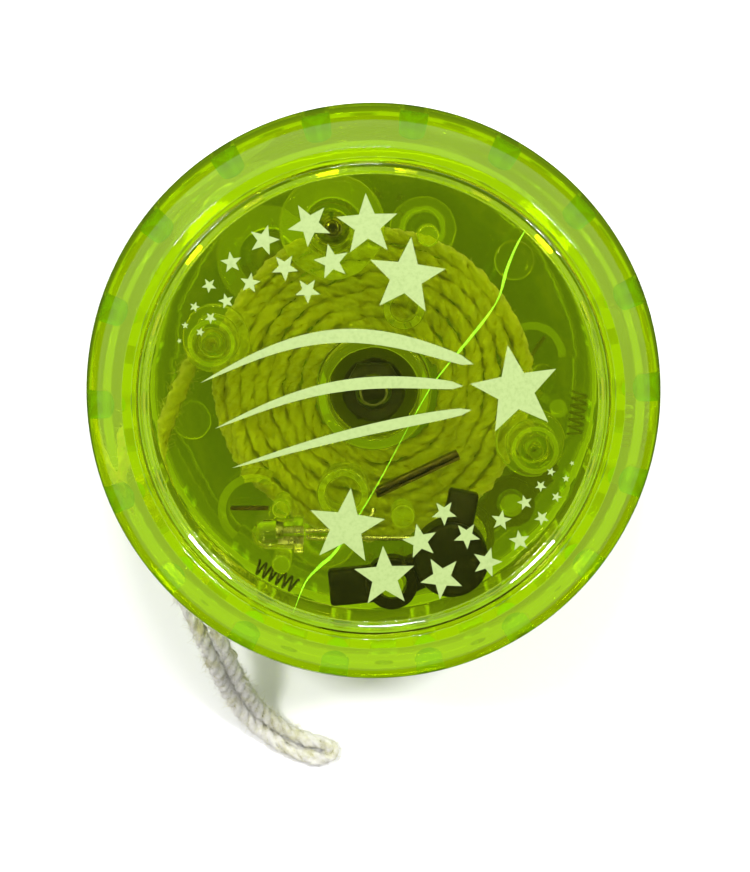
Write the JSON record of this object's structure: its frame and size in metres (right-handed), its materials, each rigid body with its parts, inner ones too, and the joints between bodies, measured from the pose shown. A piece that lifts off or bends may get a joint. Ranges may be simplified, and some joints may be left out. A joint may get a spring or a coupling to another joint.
{
  "type": "yo-yo",
  "caption": "Clear lime plastic light-up yo-yo lying on its face, two halves on a steel axle with a wound cotton string and finger loop.",
  "frame": {"origin": "middle of the lower face, on the surface that the yo-yo lies on", "axes": "+Z along the axle, away from the resting surface; +X and +Y across the faces, with the string's end leaving towards -X -Y"},
  "size_m": [0.057, 0.0718, 0.034],
  "materials": {
    "lime_plastic": "clear tinted, polished",
    "lime_cap_plastic": "clear tinted, polished, printed with pale stars",
    "clear_epoxy": "water clear",
    "tinned_steel": "bright",
    "polished_steel": "polished",
    "phosphor_bronze": "satin",
    "nickel_can": "bright",
    "black_plastic": "matt",
    "twisted_cotton": "fuzzy twisted cotton"
  },
  "bodies": {
    "halves": {"upper_shell": "lime_plastic", "upper_face_cap": "lime_cap_plastic", "upper_led": "clear_epoxy", "upper_led_lead_to_cells": "tinned_steel", "upper_led_lead_to_strip": "tinned_steel", "upper_cell_holder": "black_plastic", "upper_inner_button_cell": "nickel_can", "upper_outer_button_cell": "nickel_can", "upper_contact_strip": "phosphor_bronze", "upper_switch_blade": "phosphor_bronze", "upper_switch_spring": "tinned_steel", "upper_washer": "tinned_steel", "upper_axle_nut": "tinned_steel", "lower_shell": "lime_plastic", "lower_face_cap": "lime_cap_plastic", "lower_led": "clear_epoxy", "lower_led_lead_to_cells": "tinned_steel", "lower_led_lead_to_strip": "tinned_steel", "lower_cell_holder": "black_plastic", "lower_inner_button_cell": "nickel_can", "lower_outer_button_cell": "nickel_can", "lower_contact_strip": "phosphor_bronze", "lower_switch_blade": "phosphor_bronze", "lower_switch_spring": "tinned_steel", "lower_washer": "tinned_steel", "lower_axle_nut": "tinned_steel", "axle": "polished_steel"},
    "string": {"axle_spool": "black_plastic", "string_winding": "twisted_cotton", "string_tail": "twisted_cotton", "string_knot": "twisted_cotton"},
    "upper_ball": {"upper_steel_ball": "polished_steel"},
    "lower_ball": {"lower_steel_ball": "polished_steel"}
  },
  "joints": [
    {"name": "string_spin", "type": "hinge", "parent": "halves", "child": "string", "pos_m": [0, 0, 0.017], "axis": [0, 0, 1], "continuous": true},
    {"name": "upper_ball_travel", "type": "slide", "parent": "halves", "child": "upper_ball", "axis": [-0.2419, 0.9703, 0], "range_m": [-0.0008, 0.0008]},
    {"name": "lower_ball_travel", "type": "slide", "parent": "halves", "child": "lower_ball", "axis": [-0.6428, 0.766, 0], "range_m": [-0.0008, 0.0008]}
  ]
}
